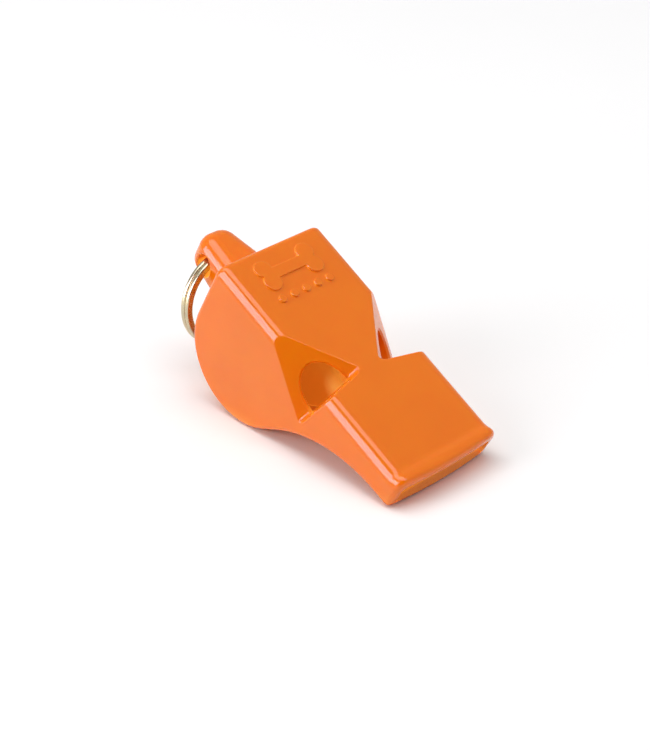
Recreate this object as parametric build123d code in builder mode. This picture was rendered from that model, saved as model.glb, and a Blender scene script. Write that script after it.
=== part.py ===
from build123d import *
import os
from math import acos, asin, atan2, cos, degrees, hypot, radians, sin

# A pealess three-chamber training whistle, in millimetres.
# The pieces are drawn with the top face level, +X out of the mouthpiece, +Y to the left and +Z up, from the
# middle of the mouthpiece's open end. At the end of the file they are set down together as the whistle rests
# on a table, on its barrel and its lower lip, with the origin on the table under the middle of the whistle.

# Driving dimensions of the body
body_width = 20.0
body_length = 42.0  # rear face to mouthpiece tip
body_height = 21.0  # top face to the bottom of the barrel
barrel_radius = 10.4
mouth_height = 5.4
ramp_angle = 51.0  # slope of the barrel's front flank
throat_radius = 24.0  # hollow curve from the flank into the mouthpiece
tip_bow = 0.5  # how far the mouthpiece's end bows forward
wall = 1.4
fit_gap = 0.05  # between the mouldings before they are welded

# Edge radii
top_edge_radius = 1.85
side_edge_radius = 0.85
front_edge_radius = 0.8  # all round the mouthpiece's end
ridge_radius = 0.25  # where the facets and the notch walls meet the body's faces
fold_radius = 0.8  # hollow, where a facet meets its notch wall
rim_radius = 0.3  # round the windows and the lug's hole

# Cut-away corners with the side sound windows
facet_start = 12.1  # from the rear face, along the top corner
facet_end = 23.7
neck_width = 3.2  # top face left between the two facets
facet_depth = 8.8  # down the side face
wall_lean = 1.9  # forward lean of the wall in front of the facet
window_width = 6.8
window_height = 5.65
window_lean = 8.0  # degrees, towards the top face
slot_width = 7.6
slot_height = 1.0

# Lug and split ring
lug_length = 10.2
lug_tip_width = 5.65
lug_root_width = 9.55
lug_tip_drop = 7.5  # top face to the lug's top, at its tip
lug_root_drop = 6.2
lug_bottom_drop = 13.7
lug_tip_radius = 2.75  # seen from above
lug_top_radius = 2.6
lug_bottom_radius = 1.6
hole_radius = 1.7
hole_setback = 6.5  # rear face to hole axis
hole_drop = 11.0  # top face to hole axis
ring_mean_radius = 7.05
ring_wire_width = 1.2  # across the ring
ring_wire_height = 0.8  # along the ring's own axis
ring_turn_pitch = 0.86
ring_overlap_angle = 40.0  # where the wire crosses from one turn to the next
ring_centre_offset = 6.47  # hole axis to ring centre

# Lip across the top of the mouthpiece's end
lip_length = 1.1
lip_rise = 0.45
lip_sweep_radius = 2.2  # of the two curves that lead up to it

# Chambers
divider_thickness = 1.3
centre_chamber_width = 3.8
left_chamber_stop = 2.4  # filling at the back of the left chamber, which sets its note
right_chamber_stop = 4.4
mouth_flare = 0.45  # how much wider the opening is, all round, at its very end
mouth_flare_depth = 0.9
mouth_pocket_depth = 3.0
windway_height = 1.4
cover_start_drop = 14.8  # where the bottom cover begins on the rear face

# Raised motif on the top face
motif_rise = 0.3
motif_edge_radius = 0.12
bone_length = 11.0
bone_shaft_width = 1.9
bone_knob_radius = 1.45
pip_radius = 0.65

# Places worked out from the above
top = mouth_height / 2
under = -mouth_height / 2
rear = -body_length
half_width = body_width / 2
inner_half = half_width - wall
barrel_x = rear + barrel_radius
barrel_z = top - body_height + barrel_radius
facet_x = rear + facet_end
mouth_opening_height = mouth_height - 2 * wall
hole_x = rear - hole_setback
hole_z = top - hole_drop

# Nose-down tilt at which the barrel and the lower lip both touch a table
lip_reach = -front_edge_radius - barrel_x
lip_climb = under + front_edge_radius - barrel_z
rest_tilt = degrees(
    atan2(lip_climb, lip_reach)
    + asin((barrel_radius - front_edge_radius) / hypot(lip_reach, lip_climb))
)

corner_rear = Vector(rear + facet_start, half_width, top)
corner_neck = Vector(facet_x, neck_width / 2, top)
corner_side = Vector(facet_x, half_width, top - facet_depth)
corner_front = Vector(facet_x + wall_lean, half_width, top)
fold_middle = (corner_neck + corner_side) * 0.5
fold_line = (corner_neck - corner_side).normalized()
facet_normal = (corner_neck - corner_rear).cross(corner_side - corner_rear).normalized()
if facet_normal.Z < 0:
    facet_normal = -facet_normal
wall_normal = (corner_neck - corner_front).cross(corner_side - corner_front).normalized()
if wall_normal.X > 0:
    wall_normal = -wall_normal
# Moving the fold by this vector sets both of its planes one wall thickness into the body
fold_inset = (facet_normal + wall_normal) * (-wall / (1 + facet_normal.dot(wall_normal)))


def notch_cutter(shift, growth=1.7):
    """The corner cut away over one side window, grown about its fold so that it clears the body's edges."""
    rear_point, neck_point, side_point, front_point = (
        fold_middle + (point - fold_middle) * growth + shift
        for point in (corner_rear, corner_neck, corner_side, corner_front)
    )
    with BuildPart() as cutter:
        with BuildSketch(Plane.XY.offset(rear_point.Z)) as roof:
            Polygon(
                (rear_point.X, rear_point.Y),
                (neck_point.X, neck_point.Y),
                (front_point.X, front_point.Y),
                align=None,
            )
        loft(sections=[roof.sketch.face(), Vertex(side_point.X, side_point.Y, side_point.Z)])
    return cutter.part


# Side outline of the whole body, on the middle plane (local x along +X, local y along +Z)
side_plane = Plane(origin=(0, 0, 0), x_dir=(1, 0, 0), z_dir=(0, -1, 0))
with BuildSketch(Plane.XY) as outline:
    with BuildLine():
        barrel_arc = JernArc(
            start=(rear, barrel_z), tangent=(0, -1), radius=barrel_radius, arc_size=90 + ramp_angle
        )
        slope = (cos(radians(ramp_angle)), sin(radians(ramp_angle)))
        climb = under - throat_radius * (1 - cos(radians(ramp_angle))) - (barrel_arc @ 1).Y
        flank = Line(barrel_arc @ 1, barrel_arc @ 1 + Vector(*slope) * (climb / slope[1]))
        throat = JernArc(start=flank @ 1, tangent=slope, radius=throat_radius, arc_size=-ramp_angle)
        Polyline(throat @ 1, (0, under), (0, top), (rear, top), (rear, barrel_z))
    make_face()

with BuildSketch(Plane.XY) as inner_outline:
    add(outline.sketch)
    offset(amount=-wall, kind=Kind.INTERSECTION, mode=Mode.REPLACE)

# The lip's section: two tangent curves climb from the top face to a short flat that ends at the tip
with BuildSketch(Plane.XY) as lip_section:
    with BuildLine():
        sweep_angle = degrees(acos(1 - lip_rise / (2 * lip_sweep_radius)))
        crest = JernArc(
            start=(-lip_length, top + lip_rise),
            tangent=(-1, 0),
            radius=lip_sweep_radius,
            arc_size=sweep_angle,
        )
        foot = JernArc(
            start=crest @ 1, tangent=crest % 1, radius=lip_sweep_radius, arc_size=-sweep_angle
        )
        Polyline(
            foot @ 1, foot @ 1 - Vector(0, wall), (0, top - wall), (0, top + lip_rise), crest @ 0
        )
    make_face()

# Outer form: the body with its lip, rounded along its edges, its end bowed forward
with BuildPart() as outer_form:
    with BuildSketch(side_plane):
        add(outline.sketch)
        add(lip_section.sketch)
    extrude(amount=half_width, both=True)
    side_edges = outer_form.edges().group_by(Axis.Y)[0] + outer_form.edges().group_by(Axis.Y)[-1]
    fillet(
        [e for e in side_edges if e.center().Z > top - 0.01 and e.center().X < -0.01],
        radius=top_edge_radius,
    )
    rear_corners = outer_form.edges().filter_by(Axis.Z).group_by(Axis.X)[0]
    barrel_edges = [
        edge
        for edge in outer_form.edges().group_by(Axis.Y)[0] + outer_form.edges().group_by(Axis.Y)[-1]
        if edge.center().Z < under + 0.01 and edge.center().X < -0.1
    ]
    fillet(rear_corners + ShapeList(barrel_edges), radius=side_edge_radius)
    with BuildSketch(Plane.XY.offset(top + 1)):
        with BuildLine():
            bow = ThreePointArc((-tip_bow, -half_width), (0, 0), (-tip_bow, half_width))
            Polyline(bow @ 1, (rear - 1, half_width), (rear - 1, -half_width), bow @ 0)
        make_face()
    extrude(amount=-(body_height + 2), mode=Mode.INTERSECT)

notch = notch_cutter(Vector(0, 0, 0))
notch_walls = notch_cutter(fold_inset)
notch_clearance = notch_cutter(fold_inset * (1 + fit_gap / wall))


def notch_faces_along(edge):
    """How many of a notch's two faces an edge lies in: two for the fold between them."""
    samples = [Vector(p.X, abs(p.Y), p.Z) - fold_middle for p in (edge @ 0, edge @ 0.5, edge @ 1)]
    on_facet = all(abs(p.dot(facet_normal)) < 0.01 for p in samples)
    on_wall = all(abs(p.dot(wall_normal)) < 0.01 for p in samples)
    return on_facet + on_wall


with BuildPart() as body_form:
    add(outer_form.part)
    add(notch, mode=Mode.SUBTRACT)
    mirror(notch, about=Plane.XZ, mode=Mode.SUBTRACT)
    fillet(body_form.edges().filter_by(lambda e: notch_faces_along(e) == 2), radius=fold_radius)
    fillet(body_form.edges().filter_by(lambda e: notch_faces_along(e) == 1), radius=ridge_radius)
    front_face = body_form.faces().filter_by(GeomType.CYLINDER).sort_by(Axis.X)[-1]
    fillet(front_face.edges(), radius=front_edge_radius)

# Lug: a thumb-shaped tongue behind the rear face, narrower and lower towards its rounded tip
with BuildPart() as lug_form:
    lug_tip = rear - lug_length
    with BuildSketch(side_plane):
        Polygon(
            (rear + wall, top - lug_bottom_drop),
            (lug_tip, top - lug_bottom_drop),
            (lug_tip, top - lug_tip_drop),
            (rear, top - lug_root_drop),
            (rear + wall, top - lug_root_drop),
            align=None,
        )
    extrude(amount=half_width, both=True)
    with BuildSketch(Plane.XY.offset(top)) as lug_plan:
        Polygon(
            (rear + wall, -lug_root_width / 2),
            (rear + wall, lug_root_width / 2),
            (lug_tip, lug_tip_width / 2),
            (lug_tip, -lug_tip_width / 2),
            align=None,
        )
        fillet(lug_plan.vertices().group_by(Axis.X)[0], radius=lug_tip_radius)
    extrude(amount=-body_height, mode=Mode.INTERSECT)
    lug_bottom = lug_form.faces().sort_by(Axis.Z)[0]
    fillet(
        [edge for edge in lug_bottom.edges() if edge.center().X < rear + wall - 0.05],
        radius=lug_bottom_radius,
    )
    lug_top = lug_form.faces().filter_by(lambda face: face.normal_at().Z > 0.5).sort_by(Axis.X)[0]
    fillet([edge for edge in lug_top.edges() if edge.center().X < rear - 0.05], radius=lug_top_radius)

# The arched window through one facet, chamfered at its rim
facet_plane = Plane(origin=fold_middle, x_dir=-fold_line, z_dir=facet_normal)
def window_outline(height, rim):
    """The window's outline at a height above the facet, grown by a rim."""
    with BuildSketch(facet_plane.offset(height)) as opening:
        Ellipse(window_width / 2 + rim, window_height + rim, rotation=window_lean)
        Rectangle(
            2 * window_width,
            2 * window_height,
            align=(Align.CENTER, Align.MAX),
            mode=Mode.SUBTRACT,
        )
    return opening.sketch


with BuildPart() as window_cutter:
    extrude(window_outline(1, 0), amount=-(1 + wall * 1.6))
    loft(
        sections=[
            window_outline(0.2, rim_radius + 0.2).face(),
            window_outline(-rim_radius, 0).face(),
        ],
        ruled=True,
    )

# The windway of one side chamber: from the mouth pocket to the slot along the fold
divider_outer = centre_chamber_width / 2 + divider_thickness
windway_floor = -mouth_opening_height / 2
slot_ends = [fold_middle + fold_line * (side * slot_width / 2) for side in (-1, 1)]
slot_rise = Vector(0, -fold_line.Z, fold_line.Y) * -slot_height
with BuildPart() as side_windway:
    with BuildSketch(Plane.YZ.offset(1 - mouth_pocket_depth)) as windway_mouth:
        Polygon(
            (inner_half - 0.7, windway_floor),
            (divider_outer + 0.3, windway_floor),
            (divider_outer + 0.3, windway_floor + windway_height),
            (inner_half - 0.7, windway_floor + windway_height),
            align=None,
        )
    with BuildSketch(Plane.YZ.offset(facet_x)) as windway_slot:
        Polygon(
            *(
                (point.Y, point.Z)
                for point in (
                    slot_ends[0],
                    slot_ends[1],
                    slot_ends[1] + slot_rise,
                    slot_ends[0] + slot_rise,
                )
            ),
            align=None,
        )
    loft(sections=[windway_mouth.sketch.face(), windway_slot.sketch.face()], ruled=True)

# The pocket behind the mouthpiece's end
with BuildPart() as mouth_pocket:
    with BuildSketch(Plane.YZ.offset(1)):
        RectangleRounded(2 * inner_half, mouth_opening_height, 0.6)
    extrude(amount=-(1 + mouth_pocket_depth))
    with BuildSketch(Plane.YZ) as flare_end:
        RectangleRounded(
            2 * (inner_half + mouth_flare), mouth_opening_height + 2 * mouth_flare, 0.6 + mouth_flare
        )
    with BuildSketch(Plane.YZ.offset(-mouth_flare_depth)) as flare_start:
        RectangleRounded(2 * inner_half, mouth_opening_height, 0.6)
    loft(sections=[flare_end.sketch.face(), flare_start.sketch.face()])

# Outline of the bottom cover's share of the body, which runs from the seam behind the barrel to the tip
with BuildSketch(Plane.XY) as cover_region:
    with Locations((rear / 2, barrel_z)):
        Rectangle(body_length + 6, 2 * body_height)
    add(inner_outline.sketch, mode=Mode.SUBTRACT)
    with Locations((barrel_x, top - cover_start_drop)):
        Rectangle(body_length, 2 * body_height, align=(Align.MAX, Align.MIN), mode=Mode.SUBTRACT)
    with Locations((barrel_x, -mouth_opening_height / 2)):
        Rectangle(2 * body_length, 2 * body_height, align=(Align.MIN, Align.MIN), mode=Mode.SUBTRACT)

# Everything that is open or filled by another moulding between the housing's side walls
with BuildPart() as housing_cavity:
    with BuildSketch(side_plane):
        add(inner_outline.sketch)
        add(cover_region.sketch)
    extrude(amount=inner_half, both=True)
    add(notch_walls, mode=Mode.SUBTRACT)
    mirror(notch_walls, about=Plane.XZ, mode=Mode.SUBTRACT)

with BuildPart() as top_housing:
    add(body_form.part)
    add(lug_form.part)
    add(housing_cavity.part, mode=Mode.SUBTRACT)
    for cutter in (window_cutter.part, side_windway.part):
        add(cutter, mode=Mode.SUBTRACT)
        mirror(cutter, about=Plane.XZ, mode=Mode.SUBTRACT)
    add(mouth_pocket.part, mode=Mode.SUBTRACT)
    with Locations(Location((hole_x, 0, hole_z), (90, 0, 0))):
        Cylinder(hole_radius, body_width, mode=Mode.SUBTRACT)
    hole_rims = [
        edge
        for edge in top_housing.edges()
        if abs(edge.center().Y) > 0.1
        and all(
            abs(hypot((edge @ share).X - hole_x, (edge @ share).Z - hole_z) - hole_radius) < 0.01
            for share in (0.3, 0.7)
        )
    ]
    fillet(hole_rims, radius=rim_radius)
    # Raised bone and a row of pips on the top face, in place of any lettering
    with BuildSketch(Plane.XY.offset(top - 0.2)):
        with Locations((rear + 4.6, 0)):
            Rectangle(bone_shaft_width, bone_length - 2 * bone_knob_radius)
            with GridLocations(1.7 * bone_knob_radius, bone_length - 2 * bone_knob_radius, 2, 2):
                Circle(bone_knob_radius)
        with Locations((rear + 8.8, 0)):
            with GridLocations(1, 2.3, 1, 5):
                Circle(pip_radius)
    extrude(amount=motif_rise + 0.2)
    motif_tops = top_housing.faces().filter_by(
        lambda face: abs(face.center().Z - top - motif_rise) < 0.01 and face.center().X < facet_x
    )
    fillet(motif_tops.edges(), radius=motif_edge_radius)

# The floor of the centre chamber's windway follows the cover, and its window is in the barrel's front flank
flank_plane = Plane(
    origin=((flank @ 0).X, 0, (flank @ 0).Y),
    x_dir=(slope[0], 0, slope[1]),
    z_dir=(slope[1], 0, -slope[0]),
)
with BuildPart() as flank_window:
    with BuildSketch(flank_plane.offset(1)):
        with Locations((3.4, 0)):
            Rectangle(4.8, centre_chamber_width)
    extrude(amount=-(1 + wall * 1.3))

with BuildPart() as bottom_cover:
    add(body_form.part)
    with BuildSketch(side_plane):
        add(cover_region.sketch)
    extrude(amount=inner_half - fit_gap, both=True, mode=Mode.INTERSECT)
    add(notch_clearance, mode=Mode.SUBTRACT)
    mirror(notch_clearance, about=Plane.XZ, mode=Mode.SUBTRACT)
    add(mouth_pocket.part, mode=Mode.SUBTRACT)
    add(flank_window.part, mode=Mode.SUBTRACT)

chamber_front = facet_x + wall * 1.2
centre_front = (flank @ 0).X + 5.8 * slope[0]
with BuildPart() as chamber_core:
    with BuildSketch(side_plane):
        add(inner_outline.sketch)
        offset(amount=-fit_gap, kind=Kind.INTERSECTION, mode=Mode.REPLACE)
    extrude(amount=inner_half - fit_gap, both=True)
    # Side chambers, each with its own stop behind it
    for side, stop in ((1, left_chamber_stop), (-1, right_chamber_stop)):
        with Locations((rear + wall + stop, side * divider_outer, barrel_z - barrel_radius)):
            Box(
                chamber_front - rear - wall - stop,
                inner_half - divider_outer,
                body_height,
                align=(Align.MIN, Align.MIN if side > 0 else Align.MAX, Align.MIN),
                mode=Mode.SUBTRACT,
            )
    # Centre chamber, which sounds through the window below
    with Locations((rear, 0, barrel_z - barrel_radius)):
        Box(
            centre_front - rear,
            centre_chamber_width,
            body_height,
            align=(Align.MIN, Align.CENTER, Align.MIN),
            mode=Mode.SUBTRACT,
        )
    with BuildSketch(side_plane):
        add(inner_outline.sketch)
        with Locations((0, 1.4)):
            add(inner_outline.sketch, mode=Mode.SUBTRACT)
        with Locations((centre_front - 0.5, 0)):
            Rectangle(
                -centre_front, 3 * body_height, align=(Align.MIN, Align.CENTER), mode=Mode.INTERSECT
            )
    extrude(amount=centre_chamber_width / 2, both=True, mode=Mode.SUBTRACT)
    add(notch_clearance, mode=Mode.SUBTRACT)
    mirror(notch_clearance, about=Plane.XZ, mode=Mode.SUBTRACT)
    add(side_windway.part, mode=Mode.SUBTRACT)
    mirror(side_windway.part, about=Plane.XZ, mode=Mode.SUBTRACT)
    with Locations((-mouth_pocket_depth, 0, 0)):
        Box(
            body_width,
            body_width,
            body_width,
            align=(Align.MIN, Align.CENTER, Align.CENTER),
            mode=Mode.SUBTRACT,
        )

# Split ring: two flat turns of wire, joined where the wire crosses from one to the other
hang = radians(90 - rest_tilt)  # below level, so that it hangs straight down once the whistle is set down
ring_plane = Plane(
    origin=(
        hole_x + ring_centre_offset * cos(hang),
        0,
        hole_z - ring_centre_offset * sin(hang),
    ),
    x_dir=(-cos(hang), 0, sin(hang)),
    z_dir=(sin(hang), 0, cos(hang)),
)


def wire_section(angle, height):
    """The wire's cross-section at an angle round the ring and a height along its axis."""
    spoke = Plane(
        origin=(0, 0, height),
        x_dir=(cos(radians(angle)), sin(radians(angle)), 0),
        z_dir=(sin(radians(angle)), -cos(radians(angle)), 0),
    )
    with BuildSketch(spoke) as section:
        with Locations((ring_mean_radius, 0)):
            RectangleRounded(ring_wire_width, ring_wire_height, 0.3)
    return section.sketch.face()


half_pitch = ring_turn_pitch / 2
end_gap = 7.0
with BuildPart() as flat_ring:
    # Each turn stops short of the crossing, and the crossing climbs from one to the other
    for start, height in ((end_gap, -half_pitch), (0, half_pitch)):
        revolve(
            profiles=wire_section(start, height),
            axis=Axis.Z,
            revolution_arc=360 - ring_overlap_angle - end_gap,
        )
    crossing = []
    for step in range(9):
        share = step / 8
        climb_share = share * share * (3 - 2 * share)
        crossing.append(
            wire_section(
                -ring_overlap_angle * (1 - share), -half_pitch + ring_turn_pitch * climb_share
            )
        )
    loft(sections=crossing)

with BuildPart() as split_ring:
    add(ring_plane.location * flat_ring.part)


# Set down on the table
pieces = {
    "top_housing": top_housing.part,
    "chamber_core": chamber_core.part,
    "bottom_cover": bottom_cover.part,
    "split_ring": split_ring.part,
}
tilted = {name: piece.rotate(Axis.Y, rest_tilt) for name, piece in pieces.items()}
boxes = [piece.bounding_box() for piece in tilted.values()]
middle = (min(box.min.X for box in boxes) + max(box.max.X for box in boxes)) / 2
set_down = Pos(-middle, 0, -min(box.min.Z for box in boxes))

if __name__ == "__main__":
    os.makedirs("parts", exist_ok=True)
    for name, piece in tilted.items():
        resting = set_down * piece
        resting.label = name
        export_step(resting, f"parts/{name}.step")
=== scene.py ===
import math

import bpy
from mathutils import Matrix, Quaternion, Vector


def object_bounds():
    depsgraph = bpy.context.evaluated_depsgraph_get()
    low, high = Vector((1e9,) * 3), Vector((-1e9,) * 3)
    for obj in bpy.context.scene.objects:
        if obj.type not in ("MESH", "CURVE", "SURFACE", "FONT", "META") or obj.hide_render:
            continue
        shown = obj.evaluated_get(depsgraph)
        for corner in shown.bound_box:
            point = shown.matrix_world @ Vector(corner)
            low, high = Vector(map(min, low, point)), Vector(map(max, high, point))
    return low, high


# A moulded orange training whistle with a split ring, at rest on a plain pale table. Lengths are metres in
# the frame's own axes: +X towards the mouthpiece, +Z up, the table at Z = 0.

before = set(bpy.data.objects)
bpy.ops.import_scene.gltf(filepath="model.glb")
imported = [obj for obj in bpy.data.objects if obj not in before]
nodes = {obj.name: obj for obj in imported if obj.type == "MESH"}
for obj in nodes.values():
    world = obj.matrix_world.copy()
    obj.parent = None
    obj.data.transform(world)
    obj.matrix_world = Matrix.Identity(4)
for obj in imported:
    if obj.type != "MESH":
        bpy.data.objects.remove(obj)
cad_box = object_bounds()

MILLIMETRE = 0.001
middle = (cad_box[0] + cad_box[1]) / 2

# ---------------------------------------------------------------- small helpers


def new_material(name):
    """A material with an empty node tree, and functions that add a node to it and link two sockets."""
    material = bpy.data.materials.new(name)
    material.use_nodes = True
    tree = material.node_tree
    tree.nodes.clear()

    def add(kind, **settings):
        node = tree.nodes.new(kind)
        for key, value in settings.items():
            if key.startswith("in_"):
                node.inputs[key[3:].replace("_", " ")].default_value = value
            else:
                setattr(node, key, value)
        return node

    return material, add, tree.links.new


def feed(link, value, socket):
    """Sets a socket to a constant, or links another node's output to it."""
    if isinstance(value, (tuple, float, int)):
        socket.default_value = value
    else:
        link(value, socket)


def show(add, link, shader):
    """Puts the shader on the material's surface."""
    output = add("ShaderNodeOutputMaterial")
    link(shader.outputs["BSDF"], output.inputs["Surface"])


def position(add):
    """Object coordinates: every CAD node's object sits at the origin, so they are the frame's metres."""
    return add("ShaderNodeTexCoord").outputs["Object"]


def noise(add, link, size, detail=3.0, roughness=0.55):
    """Noise whose lumps are about size metres across; gives its 0 to 1 output."""
    lump_at_scale_one = 0.6
    node = add(
        "ShaderNodeTexNoise", in_Scale=lump_at_scale_one / size, in_Detail=detail, in_Roughness=roughness
    )
    link(position(add), node.inputs["Vector"])
    return node.outputs["Fac"]


def remap(add, link, value, from_low, from_high, to_low=0.0, to_high=1.0):
    """Carries a value from one range to another, held at both ends."""
    node = add(
        "ShaderNodeMapRange",
        in_From_Min=from_low,
        in_From_Max=from_high,
        in_To_Min=to_low,
        in_To_Max=to_high,
    )
    link(value, node.inputs["Value"])
    return node.outputs["Result"]


def math_node(add, link, operation, a, b):
    node = add("ShaderNodeMath", operation=operation)
    for socket, value in zip(node.inputs, (a, b)):
        feed(link, value, socket)
    return node.outputs[0]


def mix_colour(add, link, factor, a, b):
    """Colour a where factor is 0 and b where it is 1."""
    factor_socket, a_socket, b_socket, colour_output = 0, 6, 7, 2
    node = add("ShaderNodeMix", data_type="RGBA")
    feed(link, factor, node.inputs[factor_socket])
    feed(link, a, node.inputs[a_socket])
    feed(link, b, node.inputs[b_socket])
    return node.outputs[colour_output]


def bumped(add, link, height, strength, depth):
    """The normal of a surface that a height from 0 to 1 raises by up to depth metres."""
    node = add("ShaderNodeBump", in_Strength=strength, in_Distance=depth)
    link(height, node.inputs["Height"])
    return node.outputs["Normal"]


def edge_mask(add, link, radius):
    """Near 1 where the surface turns sharply within radius, outwards or inwards, and 0 on flat ground."""
    bevel = add("ShaderNodeBevel", samples=6, in_Radius=radius)
    geometry = add("ShaderNodeNewGeometry")
    dot = add("ShaderNodeVectorMath", operation="DOT_PRODUCT")
    link(bevel.outputs["Normal"], dot.inputs[0])
    link(geometry.outputs["Normal"], dot.inputs[1])
    return remap(add, link, dot.outputs["Value"], 0.995, 0.93)


# ---------------------------------------------------------------- materials

ORANGE = (0.83, 0.192, 0.002, 1)
ORANGE_DEEP = (0.81, 0.176, 0.002, 1)
# Lighter edge colour: partly wear, partly a painted highlight
ORANGE_WORN_AND_HIGHLIT = (0.86, 0.30, 0.035, 1)
AMBER = (0.60, 0.22, 0.010, 1)
AMBER_DEEP = (0.52, 0.18, 0.008, 1)
# Painted light: the lighter amber painted into hollows, and the colours of the painted glow
HOLLOW_PAINTED_LIGHT = (0.82, 0.38, 0.045, 1)
AMBER_PAINTED_GLOW = (0.80, 0.36, 0.045, 1)
DEEP_PAINTED_GLOW = (0.44, 0.150, 0.009, 1)
SPOT_PAINTED_GLOW = (1.0, 0.45, 0.09, 1)
BRASS = (0.66, 0.57, 0.36, 1)
BRASS_DULL = (0.50, 0.45, 0.33, 1)
TABLE_PALE = (0.95, 0.95, 0.95, 1)
TABLE_GREY = (0.93, 0.93, 0.93, 1)

# How large the details of a surface are
FLOW_MARK = 6 * MILLIMETRE
HAZE_PATCH = 2.5 * MILLIMETRE
ORANGE_PEEL = 0.7 * MILLIMETRE
SPECK = 0.35 * MILLIMETRE
EDGE_WEAR_AND_HIGHLIGHT = 0.35 * MILLIMETRE
BRASS_PATCH = 1.6 * MILLIMETRE
WIRE_GRAIN = 0.12 * MILLIMETRE
TABLE_PATCH = 30 * MILLIMETRE


def moulded_plastic(
    name, base, deep, roughness=0.07, reach=5 * MILLIMETRE, soak=1.0, glow=AMBER_PAINTED_GLOW, painted_bright_spot=None
):
    """Glossy moulded plastic: flow marks, specks, orange peel, handling haze and softly worn edges, which
    are painted lighter, partly as wear and partly as a painted highlight.

    Its hollows, where walls stand within reach, are painted a lighter amber and glow by up to soak:
    painted light standing in for light that soaks through thin walls. A given bright spot is the middle of
    a brighter painted patch of that glow.
    """
    material, add, link = new_material(name)
    shader = add(
        "ShaderNodeBsdfPrincipled",
        in_IOR=1.52,
        in_Specular_IOR_Level=0.45,
        in_Specular_Tint=(1, 0.90, 1, 1),
        in_Subsurface_Weight=0.35,
        in_Subsurface_Radius=(1.0, 0.30, 0.06),
        in_Subsurface_Scale=2.0 * MILLIMETRE,
    )

    flow = remap(add, link, noise(add, link, FLOW_MARK, detail=2.0), 0.3, 0.7)
    specks = remap(add, link, noise(add, link, SPECK, detail=4.0), 0.60, 0.80, 0.0, 0.25)
    haze = noise(add, link, HAZE_PATCH, detail=5.0, roughness=0.65)
    # Edges are painted lighter in random patches: partly wear, partly a painted highlight along rims and
    # creases
    rubbed_and_highlit = remap(add, link, haze, 0.35, 0.7, 0.0, 0.5)
    worn_and_highlit_edge = math_node(add, link, "MULTIPLY", edge_mask(add, link, EDGE_WEAR_AND_HIGHLIGHT), rubbed_and_highlit)
    mottled = mix_colour(add, link, flow, base, deep)
    speckled = mix_colour(add, link, specks, mottled, deep)
    colour = mix_colour(add, link, worn_and_highlit_edge, speckled, ORANGE_WORN_AND_HIGHLIT)

    # Painted light, standing in for daylight that soaks through thin walls: hollows are painted a lighter
    # amber and glow, undersides don't
    painted_light_shelter = add("ShaderNodeAmbientOcclusion", samples=8, in_Distance=reach)
    facing = add("ShaderNodeSeparateXYZ")
    link(add("ShaderNodeNewGeometry").outputs["Normal"], facing.inputs[0])
    not_underside = remap(add, link, facing.outputs["Z"], -0.35, -0.05)
    sheltered_painted_light = remap(add, link, painted_light_shelter.outputs["AO"], 0.7, 0.3)
    hollow_painted_light = math_node(add, link, "MULTIPLY", sheltered_painted_light, not_underside)
    link(mix_colour(add, link, hollow_painted_light, colour, HOLLOW_PAINTED_LIGHT), shader.inputs["Base Color"])
    # Painted glow: the emission grows stronger the deeper the hollow
    depth = remap(add, link, painted_light_shelter.outputs["AO"], 0.6, 0.2, 0.0, soak)
    link(math_node(add, link, "MULTIPLY", depth, not_underside), shader.inputs["Emission Strength"])
    painted_glow_colour = mix_colour(add, link, flow, glow, DEEP_PAINTED_GLOW)
    # Painted light: a brighter patch of the glow around a fixed point
    if painted_bright_spot is not None:
        away = add("ShaderNodeVectorMath", operation="DISTANCE")
        link(position(add), away.inputs[0])
        away.inputs[1].default_value = painted_bright_spot
        near = remap(add, link, away.outputs["Value"], 2.6 * MILLIMETRE, 0.3 * MILLIMETRE, 0.0, 0.9)
        painted_glow_colour = mix_colour(add, link, near, painted_glow_colour, SPOT_PAINTED_GLOW)
    link(painted_glow_colour, shader.inputs["Emission Color"])

    handled = remap(add, link, haze, 0.35, 0.75, roughness, roughness + 0.05)
    scuffed = math_node(add, link, "MULTIPLY", worn_and_highlit_edge, 0.18)
    link(math_node(add, link, "ADD", handled, scuffed), shader.inputs["Roughness"])
    peel = noise(add, link, ORANGE_PEEL, detail=2.0)
    link(bumped(add, link, peel, 0.12, 0.02 * MILLIMETRE), shader.inputs["Normal"])
    show(add, link, shader)
    return material


def plated_wire(name):
    """Pale brass-plated spring wire: fine grain, with brighter and duller patches."""
    material, add, link = new_material(name)
    shader = add("ShaderNodeBsdfPrincipled", in_Metallic=1.0)
    patches = remap(add, link, noise(add, link, BRASS_PATCH, detail=4.0), 0.35, 0.7)
    grain = noise(add, link, WIRE_GRAIN)
    link(mix_colour(add, link, patches, BRASS, BRASS_DULL), shader.inputs["Base Color"])
    link(remap(add, link, grain, 0.3, 0.7, 0.16, 0.30), shader.inputs["Roughness"])
    link(bumped(add, link, grain, 0.15, 0.01 * MILLIMETRE), shader.inputs["Normal"])
    show(add, link, shader)
    return material


def table_paint(name):
    """Plain matt near-white table."""
    material, add, link = new_material(name)
    shader = add("ShaderNodeBsdfPrincipled", in_Roughness=0.9, in_Specular_IOR_Level=0.1)
    shade = mix_colour(add, link, noise(add, link, TABLE_PATCH), TABLE_GREY, TABLE_PALE)
    link(shade, shader.inputs["Base Color"])
    show(add, link, shader)
    return material


def dress(node, material):
    """Gives a CAD node one material over all its faces."""
    mesh = nodes[node].data
    mesh.materials.clear()
    mesh.materials.append(material)


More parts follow.
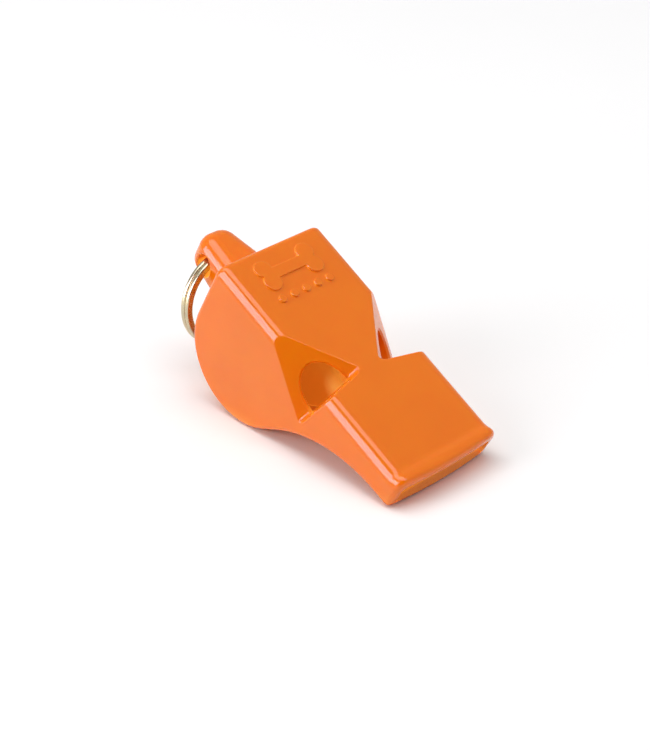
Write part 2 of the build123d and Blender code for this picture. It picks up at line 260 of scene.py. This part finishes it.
dress("top_housing", moulded_plastic("orange_plastic", ORANGE, ORANGE_DEEP))
dress("bottom_cover", moulded_plastic("orange_plastic_cover", ORANGE, ORANGE_DEEP))
inner_plastic = moulded_plastic(
    "orange_plastic_inner",
    AMBER,
    AMBER_DEEP,
    roughness=0.3,
    reach=20 * MILLIMETRE,
    soak=0.55,
    glow=DEEP_PAINTED_GLOW,
    # Where the painted brighter patch of glow sits inside the chamber
    painted_bright_spot=middle + Vector((6.0, -3.2, -3.3)) * MILLIMETRE,
)
dress("chamber_core", inner_plastic)
dress("split_ring", plated_wire("ring_wire"))

# ---------------------------------------------------------------- table, lights and camera

# Where the camera stands: azimuth from -Y towards +X, elevation and roll in degrees, and the point that it
# looks at in millimetres from the middle of the whistle
CAMERA_AZIMUTH = 46.24
CAMERA_ELEVATION = 31.33
CAMERA_ROLL = -0.39
CAMERA_DISTANCE = 0.268
CAMERA_AIM = (2.91, -2.26, -2.72)
CAMERA_LENS = 89.6
SENSOR_WIDTH = 36
TOWARD_CAMERA = (0.617, -0.59, 0.52)


def make_table(size):
    mesh = bpy.data.meshes.new("table")
    half = size / 2
    corners = [(-half, -half, 0), (half, -half, 0), (half, half, 0), (-half, half, 0)]
    mesh.from_pydata(corners, [], [(0, 1, 2, 3)])
    mesh.materials.append(table_paint("table_paint"))
    table = bpy.data.objects.new("table", mesh)
    bpy.context.scene.collection.objects.link(table)


def soft_box(name, direction, distance, width, height, brightness, colour=(1, 1, 1), lean=0):
    """A rectangular soft box that faces the whistle from a direction, turned by lean degrees."""
    light = bpy.data.lights.new(name, "AREA")
    light.shape = "RECTANGLE"
    light.size = width
    light.size_y = height
    light.energy = brightness * math.pi * width * height
    light.color = colour
    box = bpy.data.objects.new(name, light)
    toward = Vector(direction).normalized()
    box.location = middle + toward * distance
    box.rotation_mode = "QUATERNION"
    turn = Quaternion((0, 0, 1), math.radians(lean))
    box.rotation_quaternion = toward.to_track_quat("Z", "Y") @ turn
    bpy.context.scene.collection.objects.link(box)
    return box


def make_world(strength, strength_at_camera):
    """White surroundings that fade to dark on the camera's side, as in a studio."""
    world = bpy.data.worlds.new("studio")
    world.use_nodes = True
    tree = world.node_tree
    background = tree.nodes["Background"]
    background.inputs["Color"].default_value = (1, 1, 1, 1)
    toward = tree.nodes.new("ShaderNodeTexCoord")
    facing = tree.nodes.new("ShaderNodeVectorMath")
    facing.operation = "DOT_PRODUCT"
    facing.inputs[1].default_value = TOWARD_CAMERA
    fade = tree.nodes.new("ShaderNodeMapRange")
    fade.inputs["From Min"].default_value = 0.70
    fade.inputs["From Max"].default_value = 0.92
    fade.inputs["To Min"].default_value = strength
    fade.inputs["To Max"].default_value = strength_at_camera
    tree.links.new(toward.outputs["Generated"], facing.inputs[0])
    tree.links.new(facing.outputs["Value"], fade.inputs["Value"])
    tree.links.new(fade.outputs["Result"], background.inputs["Strength"])
    bpy.context.scene.world = world


def make_camera():
    azimuth = math.radians(CAMERA_AZIMUTH)
    elevation = math.radians(CAMERA_ELEVATION)
    roll = math.radians(CAMERA_ROLL)
    level = math.cos(elevation)
    aim = middle + Vector(CAMERA_AIM) * MILLIMETRE
    back = Vector((math.sin(azimuth) * level, -math.cos(azimuth) * level, math.sin(elevation)))
    right = Vector((math.cos(azimuth), math.sin(azimuth), 0))
    up = back.cross(right)
    turned_right = right * math.cos(roll) + up * math.sin(roll)
    turned_up = back.cross(turned_right)
    data = bpy.data.cameras.new("camera")
    data.sensor_width = SENSOR_WIDTH
    data.lens = CAMERA_LENS
    data.clip_start = 0.01
    data.clip_end = 20
    camera = bpy.data.objects.new("camera", data)
    facing = Matrix((turned_right, turned_up, back)).transposed()
    camera.matrix_world = Matrix.Translation(aim + back * CAMERA_DISTANCE) @ facing.to_4x4()
    bpy.context.scene.collection.objects.link(camera)
    bpy.context.scene.camera = camera


make_table(size=4.0)
make_world(strength=0.49, strength_at_camera=0.02)

# Broad light on the near side, without a reflection of its own
fill = soft_box("fill_soft_box", (-0.30, -0.85, 0.40), 0.9, 0.45, 0.60, 3.9, colour=(1, 0.96, 0.99))
fill.visible_glossy = False

# Pink bands along the near edges and the lug, which are reflections only
for name, direction, width, height, lean in (
    ("key_sheen", (-0.12, -0.88, 0.46), 0.34, 0.90, -27),
    ("lug_sheen", (-0.54, -0.79, 0.30), 0.26, 0.62, -25),
):
    sheen = soft_box(name, direction, 0.9, width, height, 7.6, colour=(1, 0.86, 1), lean=lean)
    sheen.visible_diffuse = False

soft_box("overhead_soft_box", (0.05, -0.10, 0.95), 1.0, 1.5, 0.52, 3.3)
make_camera()

scene = bpy.context.scene
scene.view_settings.view_transform = "Standard"
scene.view_settings.look = "None"
